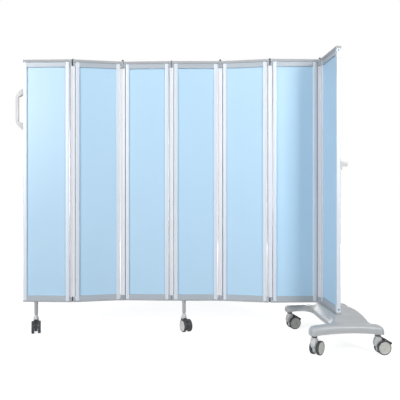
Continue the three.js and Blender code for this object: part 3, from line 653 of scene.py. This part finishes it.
hoods = []
for top in (hood_backs[-1][0], leg_hood_top):
    core = moved(plate(caster_core(), -core_half_width, core_half_width), upright_xz)
    hood = lofted([hood_section(z, back) for z, back in flowing(hood_backs, 4) if z <= top])
    skin = melted([core, hood], caster_voxel, caster_smoothing)
    hoods.append(([v.co / mm for v in skin.verts], [[v.index for v in f.verts] for f in skin.faces]))
    skin.free()
base_hood, leg_hood = hoods
for name in caster_names:
    stem, axle = joint_places[f"{name}_swivel"], joint_places[f"{name}_roll"]
    along = axle - stem
    place = Matrix.Translation((stem.x, stem.y, 0)) @ Matrix.Rotation(math.atan2(along.y, along.x), 4, "Z")
    to_axle = Matrix.Translation((caster_trail, 0, wheel_radius)) @ Matrix.Rotation(-math.pi / 2, 4, "X")
    on_leg = "_leg" in name
    add_piece(f"{name}_tyres", [moved(tyre(side), to_axle) for side in (1, -1)], thermoplastic_rubber,
              f"{name}_wheels", [f"{name}_wheels"], place)
    add_piece(f"{name}_hubs", [moved(hub(side), to_axle) for side in (1, -1)],
              leg_hub_nylon if on_leg else hub_nylon, f"{name}_wheels", (), place, 25)
    body_nylon, body_slot = (black_nylon, "black_nylon") if on_leg else (grey_nylon, "grey_nylon")
    add_piece(f"{name}_hood", [leg_hood if on_leg else base_hood], body_nylon, f"{name}_caster",
              [f"{name}_caster_body"], place)
    neck, neck_radius, housing_top = (leg_neck, leg_neck_radius, leg_housing_top) if on_leg else (
        base_neck, base_neck_radius, base_housing_top)
    housing = revolved([(0, housing_low), (housing_low_radius - 1, housing_low),
                        (housing_low_radius, housing_low + 1), (housing_low_radius, core_top + 5),
                        (housing_low_radius - 0.7, core_top + 8), (neck_radius + 1.5, neck),
                        (neck_radius, housing_top - 0.7), (neck_radius - 0.8, housing_top), (0, housing_top)])
    add_piece(f"{name}_housing", [housing], grey_nylon, f"{name}_caster", (), place)
    stem_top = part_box(f"{name}_caster_body")[1].z / mm
    shaft_solids = [revolved([(0, housing_top - 1), (stem_radius, housing_top - 1),
                              (stem_radius, stem_top - 1), (stem_radius - 1, stem_top), (0, stem_top)], 32)]
    if not on_leg:
        bore = stem_radius + 0.1
        shaft_solids.append(ring([(bore, housing_top), (nut_radius, housing_top), (nut_radius, nut_top),
                                  (bore, nut_top)], 32))
        seal = ring([(seal_bore, seal_low), (seal_radius - 0.6, seal_low), (seal_radius, seal_low + 0.8),
                     (seal_radius, seal_high - 0.8), (seal_radius - 0.6, seal_high), (seal_bore, seal_high)])
        add_piece(f"{name}_seal", [seal], thermoplastic_rubber, f"{name}_caster", (), place)
    add_piece(f"{name}_stem", shaft_solids, zinc_plated_steel, f"{name}_caster", (), place)
    if f"{name}_brake" in joint_places:
        pivot = joint_places[f"{name}_brake"]
        reach = Vector((pivot.x - stem.x, pivot.y - stem.y)).length / mm
        add_piece(f"{name}_pedal", [brake_pedal(reach, pivot.z / mm)], black_nylon, f"{name}_pedal",
                  [f"{name}_brake_pedal"], place)


# Where each leaf is: its own frame runs from the left hinge to the right one along X, with -Y to the
# front and Z from its underside. It is read off the leaf's sheet and its hinges.
leaf_count = 7
leaf_pitch = 297
leaf_height = 1460
hinge_offset = 14.5


def on_front(hinge):
    """Whether a hinge turns on the front face; the others turn on the rear face."""
    return hinge % 2 == 0


def hinge_y(hinge):
    """How far a hinge's pins stand behind the leaves' middle plane."""
    return -hinge_offset if on_front(hinge) else hinge_offset


def leaf_place(leaf):
    """The matrix from a leaf's own frame to the row's."""
    sheet = frame["nodes"][f"leaf_{leaf}_sheet"].data
    middle = sum((v.co for v in sheet.vertices), Vector()) / len(sheet.vertices)
    broad = max(sheet.polygons, key=lambda face: face.area).normal
    along = Vector((-broad.y, broad.x, 0)).normalized()
    hinge = min(leaf, leaf_count - 1)
    pin = joint_places[f"hinge_{hinge}"]
    from_pin = (middle - pin) * (1 if leaf == leaf_count else -1)
    if along.dot(from_pin) < 0:
        along = -along
    turn = Matrix.Rotation(math.atan2(along.y, along.x), 4, "Z")
    local = Vector((0 if leaf == leaf_count else leaf_pitch, hinge_y(hinge), 0)) * mm
    origin = pin - turn @ local
    return Matrix.Translation((origin.x, origin.y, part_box(f"leaf_{leaf}_bottom_rail")[0].z)) @ turn


leaf_places = {leaf: leaf_place(leaf) for leaf in range(1, leaf_count + 1)}
leaf_bodies = {leaf: "base" if leaf == leaf_count else f"leaf_{leaf}" for leaf in leaf_places}


# The stiles: aluminium extrusions 22 mm square with rounded corners and a groove for the sheet, set
# back from the hinges. Anodising leaves them pale and satin, with faint upright die lines.
stile_width = 22
stile_depth = 22
stile_round = 3
stile_setback = 16.5
groove_half = 2.3
groove_depth = 8
top_cap_height = 16
bottom_cap_height = 9


def anodised_aluminium(name, colour, shade, roughness, along):
    """Extruded and anodised aluminium: satin, with die lines drawn coarser than the real 0.1 mm ones.
    The oxide is thick and milky, so the metal below hardly shows."""
    line_mm = 1.5
    oxide_metallic = 0.15
    scale = {"X": (0.02, 1, 1), "Z": (1, 1, 0.02)}[along]
    material, tree, shader, place = material_for(name)
    lines = noise(tree, stretched(tree, place, scale), line_mm, detail=3)
    set_inputs(tree, shader, {"Base Color": tinted(tree, lines, colour, shade),
                              "Roughness": between(tree, lines, roughness - 0.07, roughness + 0.07),
                              "Normal": relief(tree, lines, 0.02, 0.5), "Metallic": oxide_metallic})
    return material


stile_aluminium = anodised_aluminium("anodised_stile", "#d9e1ea", "#d1d9e3", roughness=0.42, along="Z")


def stile_outline():
    """The extrusion's outline, its outer edge on x = 0 and its groove on the other side."""
    half = stile_depth / 2
    near, far = stile_round, stile_width - stile_round
    return [*arc((far, stile_round - half), stile_round, -90, 0, 5), (stile_width, -groove_half),
            (stile_width - groove_depth, -groove_half), (stile_width - groove_depth, groove_half),
            (stile_width, groove_half), *arc((far, half - stile_round), stile_round, 0, 90, 5),
            *arc((near, half - stile_round), stile_round, 90, 180, 5),
            *arc((near, stile_round - half), stile_round, 180, 270, 5)]


stile = plate(stile_outline(), bottom_cap_height, leaf_height - top_cap_height)
for leaf, place in leaf_places.items():
    left = stile_setback if leaf > 1 else 0
    right = leaf_pitch - (stile_setback if leaf < leaf_count else 0)
    right_node = f"leaf_{leaf}_right_stile" if leaf < leaf_count else "leaf_7_front_stile"
    for piece, node, x, turn in ((f"leaf_{leaf}_left_profile", f"leaf_{leaf}_left_stile", left, 0),
                                 (f"leaf_{leaf}_right_profile", right_node, right, math.pi)):
        seat = Matrix.Translation((x, 0, 0)) @ Matrix.Rotation(turn, 4, "Z")
        add_piece(piece, [moved(stile, seat)], stile_aluminium, leaf_bodies[leaf],
                  [node], place)


# The rails: a deep aluminium cap over the ends of the stiles, with a slotted web between the stiles
# that takes the sheet. The top one is the taller. The caps are anodised dead matt.
rail_depth = 28
rail_round = 3
web_depth = 20
top_rail_height = 44
bottom_rail_height = 38
block_end = 1.5
block_width = 12.7


def rounded(left, right, low, high, radius, steps=4):
    """A rectangle with rounded corners."""
    return [*arc((right - radius, low + radius), radius, -90, 0, steps),
            *arc((right - radius, high - radius), radius, 0, 90, steps),
            *arc((left + radius, high - radius), radius, 90, 180, steps),
            *arc((left + radius, low + radius), radius, 180, 270, steps)]


along_x = Matrix.Rotation(math.pi / 2, 4, "Z") @ Matrix.Rotation(math.pi / 2, 4, "X")
cap_aluminium = anodised_aluminium("anodised_cap", "#adb0b3", "#a5a8ab", roughness=0.7, along="X")
rail_aluminium = anodised_aluminium("anodised_rail", "#b1b9c1", "#a9b1b9", roughness=0.42, along="X")


def rail_ends(leaf):
    """Where the cap and the web of a leaf's rails start and end."""
    left = block_end + block_width if leaf > 1 else 0
    right = leaf_pitch - (block_end + block_width if leaf < leaf_count else 0)
    web_left = (stile_setback if leaf > 1 else 0) + stile_width
    web_right = leaf_pitch - (stile_setback if leaf < leaf_count else 0) - stile_width
    return left, right, web_left, web_right


for leaf, place in leaf_places.items():
    left, right, web_left, web_right = rail_ends(leaf)
    half = rail_depth / 2
    for level, low, high, slotted in (
        ("top", leaf_height - top_cap_height, leaf_height, leaf_height - top_rail_height),
        ("bottom", 0, bottom_cap_height, bottom_rail_height),
    ):
        cap = moved(plate(rounded(-half, half, low, high, rail_round), left, right, 0.4, 1), along_x)
        inner, slot = (low, slotted + groove_depth) if level == "top" else (high, slotted - groove_depth)
        channel = [(-web_depth / 2, inner), (-web_depth / 2, slotted), (-groove_half, slotted),
                   (-groove_half, slot), (groove_half, slot), (groove_half, slotted),
                   (web_depth / 2, slotted), (web_depth / 2, inner)]
        web = moved(plate(channel, web_left, web_right), along_x)
        add_piece(f"leaf_{leaf}_{level}_cap", [cap], cap_aluminium, leaf_bodies[leaf],
                  [f"leaf_{leaf}_{level}_rail"], place)
        add_piece(f"leaf_{leaf}_{level}_channel", [web], rail_aluminium, leaf_bodies[leaf],
                  (), place)


# The hinge blocks: painted die-cast ends of the rails, each with one barrel of a hinge. The left leaf of
# a pair carries the outer barrel and the pin, and a turned black cap closes the pin at the top. The
# paint has the mottle and the fine grain of a matt moulding.
knuckle_radius = 6
knuckle_room = 6.5
pin_radius = 3
cap_radius = 6
cap_height = 8.5
cap_bevel = 0.6
top_lug_height = 40
bottom_lug_height = 32
lug_half_depth = 11
barrel_gap = 0.3
cast_alloy = moulded_plastic("painted_die_casting", "#b4b8bd", "#abafb4", roughness=0.64, ior=1.5,
                             grain_mm=2.2, grain_depth_mm=0.06)


def block_outline(has_barrel, back):
    """A hinge block from above, at the left end of a leaf whose hinge is on the front."""
    x, y = block_end, -rail_depth / 2
    radius = knuckle_radius if has_barrel else knuckle_room
    upper = math.degrees(math.acos(x / radius))
    lower = math.degrees(math.asin((y + hinge_offset) / radius))
    last, steps = (360 + lower, 28) if has_barrel else (lower, 8)
    inner = block_end + block_width
    return [(inner, y), (inner, back), (x, back), *arc((0, -hinge_offset), radius, upper, last, steps)]


def hinge_block(hinge, at_right, is_top):
    """Two storeys: the outer one and the inner one, either of them with the barrel."""
    outer = leaf_height if is_top else 0
    inner = leaf_height - top_lug_height if is_top else bottom_lug_height
    middle = (outer + inner) / 2
    cap_edge = leaf_height - top_cap_height if is_top else bottom_cap_height
    storeys = [(outer, cap_edge, rail_depth / 2, at_right), (cap_edge, middle, lug_half_depth, at_right),
               (middle, inner, lug_half_depth, not at_right)]
    flip_x = -1 if at_right else 1
    flip_y = 1 if on_front(hinge) else -1
    seat = Matrix.Translation((leaf_pitch if at_right else 0, 0, 0))
    solids = []
    for start, end, back, has_barrel in storeys:
        low, high = sorted((start, end))
        if has_barrel and low == middle:
            low += barrel_gap
        elif has_barrel and high == middle:
            high -= barrel_gap
        outline = [(flip_x * x, flip_y * y) for x, y in block_outline(has_barrel, back)]
        if flip_x * flip_y < 0:
            outline.reverse()
        solids.append(moved(plate(outline, low, high, 0.35, 1), seat))
    return solids


for hinge in range(1, leaf_count):
    for level in ("top", "bottom"):
        for leaf, at_right in ((hinge, True), (hinge + 1, False)):
            side = "right" if at_right else "left"
            add_piece(f"leaf_{leaf}_{level}_{side}_block", hinge_block(hinge, at_right, level == "top"),
                      cast_alloy, leaf_bodies[leaf], (), leaf_places[leaf])
    seat = Matrix.Translation((leaf_pitch, hinge_y(hinge), 0))
    cap_top = leaf_height + cap_height
    cap = revolved([(0, leaf_height), (cap_radius - cap_bevel, leaf_height),
                    (cap_radius, leaf_height + cap_bevel), (cap_radius, cap_top - 2),
                    (cap_radius - cap_bevel, cap_top - 0.8), (cap_radius - 2, cap_top), (0, cap_top)], 32)
    add_piece(f"hinge_{hinge}_pin_cap", [moved(cap, seat)], black_nylon, leaf_bodies[hinge],
              (), leaf_places[hinge])
    pins = [revolved([(0, low), (pin_radius, low), (pin_radius, high), (0, high)], 24)
            for low, high in ((leaf_height - top_lug_height, leaf_height - 1), (1, bottom_lug_height))]
    add_piece(f"hinge_{hinge}_pins", [moved(pin, seat) for pin in pins], zinc_plated_steel,
              leaf_bodies[hinge], (), leaf_places[hinge])


# The sheets: 4 mm twin-wall polypropylene, light blue and faintly translucent, held in the grooves
# all round. Extruding them leaves soft upright flutes that show only as a slight change of gloss.
def fluted_polypropylene(name, colour, shade, flute_mm):
    """Extruded sheet: an even tint, a slow cloudiness and fine upright flutes in gloss and relief."""
    cloud_mm = 260
    material, tree, shader, place = material_for(name)
    cloud = noise(tree, place, cloud_mm, detail=2)
    flutes = noise(tree, stretched(tree, place, (1, 1, 0.01)), flute_mm, detail=1)
    set_inputs(tree, shader, {"Base Color": tinted(tree, cloud, colour, shade),
                              "Roughness": between(tree, flutes, 0.28, 0.4),
                              "Normal": relief(tree, flutes, 0.03, 0.5), "IOR": 1.49})
    return material


blue_sheet = fluted_polypropylene("fluted_blue_polypropylene", "#bcddf4", "#b8daf2", flute_mm=6)
for leaf in leaf_places:
    finish_node(f"leaf_{leaf}_sheet", blue_sheet)


# The hinge strips: white extruded vinyl that covers the gap between two leaves, with a shallow valley
# down its middle. A vinyl lip on the foot of each side fills the slit by the stile; its dark grey is
# painted shade, standing in for the shadow in that slit.
strip_half = 12.3
strip_face = 10.2
strip_back = 0
strip_valley = 3.2
strip_wall = 1.8
strip_edge = 0.6
strip_end_gap = 0.3
lip_reach = 15.2
lip_back = 2.2
lip_end_gap = 0.5
soft_vinyl = moulded_plastic("extruded_vinyl", "#e6e9ef", "#dfe2e9", roughness=0.45, ior=1.54,
                             grain_mm=3, grain_depth_mm=0.04)
right_half = [(0.5, strip_valley - strip_face), (strip_half - strip_edge, -strip_face),
              (strip_half, strip_edge - strip_face), (strip_half, strip_back),
              (strip_half - strip_wall, strip_back), (strip_half - strip_wall, strip_wall - strip_face),
              (0, strip_valley + strip_wall - strip_face)]
strip_profile = [*right_half, *[(-x, y) for x, y in reversed(right_half[:-1])]]
# The lips' dark grey is painted shade: it darkens the slits beside the strips as their shadow would.
painted_shade_vinyl = moulded_plastic("painted_shade_grey_vinyl", "#85898e", "#7b7f84", roughness=0.6, ior=1.5,
                           grain_mm=2, grain_depth_mm=0.05)
strip = plate(strip_profile, bottom_lug_height + strip_end_gap, leaf_height - top_lug_height - strip_end_gap)
lip_low, lip_high = bottom_lug_height + lip_end_gap, leaf_height - top_lug_height - lip_end_gap
lip_sides = [sorted((side * (strip_half - strip_wall), side * lip_reach)) for side in (-1, 1)]
shade_lips = [plate(rounded(left, right, strip_back, lip_back, 0.5, 2), lip_low, lip_high)
        for left, right in lip_sides]
for hinge in range(1, leaf_count):
    add_piece(f"hinge_{hinge}_cover", [strip], soft_vinyl, leaf_bodies[hinge + 1],
              [f"hinge_{hinge}_strip"], leaf_places[hinge + 1], 20)
    add_piece(f"hinge_{hinge}_lips", shade_lips, painted_shade_vinyl, leaf_bodies[hinge + 1], (),
              leaf_places[hinge + 1])


# The corner flap: the last strip stands at the corner, side on to its neighbour, so a vinyl flap grows
# from its face and closes the corner. It ends in the same dark grey lip, whose grey is painted shade for
# the shadow line by the neighbour's stile. The lip stays inside the circle that the neighbour's stile
# leaves free as the leaves fold.
flap_near, flap_far = -5.1, -6.9
flap_root, flap_end, flap_lip_end = -8, -25.5, -30.5
lip_overlap = 0.5
flap = plate(rounded(flap_far, flap_near, flap_end, flap_root, 0.4, 2), lip_low, lip_high)
flap_lip = plate(rounded(flap_far, flap_near, flap_lip_end, flap_end + lip_overlap, 0.6, 2),
                 lip_low, lip_high)
add_piece("corner_flap", [flap], soft_vinyl, "base", (), leaf_places[leaf_count])
# The flap's lip is dark grey as painted shade, drawing the shadow line beside the neighbour's stile.
add_piece("corner_flap_shade_lip", [flap_lip], painted_shade_vinyl, "base", (), leaf_places[leaf_count])


# The handle: one warm grey nylon moulding, a rounded grip on two sloping feet. It sits flat on the
# outer edge of the free stile and is screwed on from the stile's inside.
handle_low, handle_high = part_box("handle")
handle_middle = (handle_low.z + handle_high.z) / 2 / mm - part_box("leaf_1_bottom_rail")[0].z / mm
handle_length = 248
handle_reach = 47
handle_bar = 16
handle_depth = 20
handle_foot = 41
handle_bearing = 0.3
slope_start = (7, 15)  # in from the grip, down from the end
slope_end = 58
hole_round = (9, 22)
warm_nylon = moulded_plastic("warm_grey_nylon", "#d3d4d3", "#cacbca", roughness=0.42, ior=1.53,
                             grain_mm=2.0, grain_depth_mm=0.05)


def bent(start, corner, end, steps=7):
    """A quadratic bend from start to end, drawn towards the corner."""
    shares = [k / steps for k in range(steps + 1)]
    return [tuple(a * (1 - t) ** 2 + 2 * b * t * (1 - t) + c * t * t for a, b, c in zip(start, corner, end))
            for t in shares]


def handle_outline():
    """The handle from the front, its feet on x = 0."""
    half = handle_length / 2
    inner = half - handle_foot
    bar = handle_reach - handle_bar
    outer = bent((0, half), (slope_start[0] - handle_reach, half - slope_start[1]),
                 (-handle_reach, half - slope_end), 12)
    hole = bent((hole_round[0] - bar, inner), (-bar, inner), (-bar, inner - hole_round[1]))
    return [*outer, *[(x, -z) for x, z in reversed(outer)], (0, -inner), *[(x, -z) for x, z in hole],
            *reversed(hole), (0, inner)]


grip = moved(plate(handle_outline(), -handle_depth / 2, handle_depth / 2, 4.5, 4), upright_xz)
grip = moved(grip, Matrix.Translation((-handle_bearing, 0, handle_middle)))
add_piece("grab_handle", [grip], warm_nylon, "leaf_1", ["handle"], leaf_places[1], 60)


# The hook on the right face of the base leaf's front stile: a small nylon moulding, a rounded nose on
# a short leg, screwed to the stile. It holds a gown or a bag.
hook_height = 817
hook_reach = 43
hook_drop = 30
hook_bar = 9
hook_width = 14
hook_nose = 14
hook_outline = [(0, -hook_drop), (hook_bar, -hook_drop), (hook_bar, -hook_nose),
                *arc((hook_reach - hook_nose, 0), hook_nose, -90, 90, 16), (0, hook_nose)]
hook = moved(plate(hook_outline, -hook_width / 2, hook_width / 2, 1.6, 3), upright_xz)
hook_seat = Matrix.Translation((leaf_pitch - stile_width / 2, stile_depth / 2, hook_height))
add_piece("stile_hook", [moved(hook, hook_seat @ Matrix.Rotation(math.pi / 2, 4, "Z"))], warm_nylon, "base",
          (), leaf_places[leaf_count])


# The legs under the first and the fourth leaf: a steel tube, swaged in at its foot to the caster's neck,
# with a flange welded on top that is screwed up into the rail. The powder coat is silver.
leg_radius = 11
leg_foot = 107.4
leg_taper = 11
leg_top = 184.7
flange_radius = 13.8
flange_thickness = 3
flange_weld = 1.5
silver_powder_coat = powder_coated_steel("silver_powder_coat", "#b8bbbd", "#b0b3b5", roughness=0.38)
flange_low = leg_top - flange_thickness
leg_tube = revolved([(0, leg_foot), (leg_neck_radius - 0.5, leg_foot), (leg_neck_radius, leg_foot + 0.5),
                     (leg_radius - 0.6, leg_foot + 6), (leg_radius, leg_foot + leg_taper),
                     (leg_radius, flange_low - flange_weld), (leg_radius + 1.3, flange_low - 0.3),
                     (flange_radius, flange_low), (flange_radius, leg_top - 0.4),
                     (flange_radius - 0.4, leg_top), (0, leg_top)])
for name, body in (("outer_leg", "leaf_1"), ("middle_leg", "leaf_4")):
    stem = joint_places[f"{name}_swivel"]
    add_piece(f"{name}_post", [leg_tube], silver_powder_coat, body, [f"{name}_tube"],
              Matrix.Translation((stem.x, stem.y, 0)))


# The screws: blackened steel button heads with a turned recess, one at each end of the two free
# stiles. They run through the stile into the end of the rail.
screw_inset = 24


def screw(radius=4.6, height=2.2, socket=2, depth=1.5, sunk=0.6):
    """A screw head that stands on z = 0 and looks along +Z, sunk a little into what it holds."""
    outer = [(radius, -sunk), *arc((radius - height, 0), height, 0, 72, 5)]
    return revolved([(0, -sunk), *outer, (socket + 0.4, height), (socket, height - 0.2),
                     (socket, height - depth), (0, height - depth)], 32)


def look_along(axis):
    """Turns +Z to the axis."""
    return Vector((0, 0, 1)).rotation_difference(Vector(axis)).to_matrix().to_4x4()


blackened_steel = plated_steel("blackened_steel", "#4a4d51", roughness=0.42)
for piece, leaf, x, outwards in (("outer_stile_screws", 1, 0, -1),
                                 ("front_stile_screws", leaf_count, leaf_pitch, 1)):
    heads = [moved(screw(), Matrix.Translation((x, 0, z)) @ look_along((outwards, 0, 0)))
             for z in (leaf_height - screw_inset, screw_inset)]
    add_piece(piece, heads, blackened_steel, leaf_bodies[leaf], (), leaf_places[leaf])
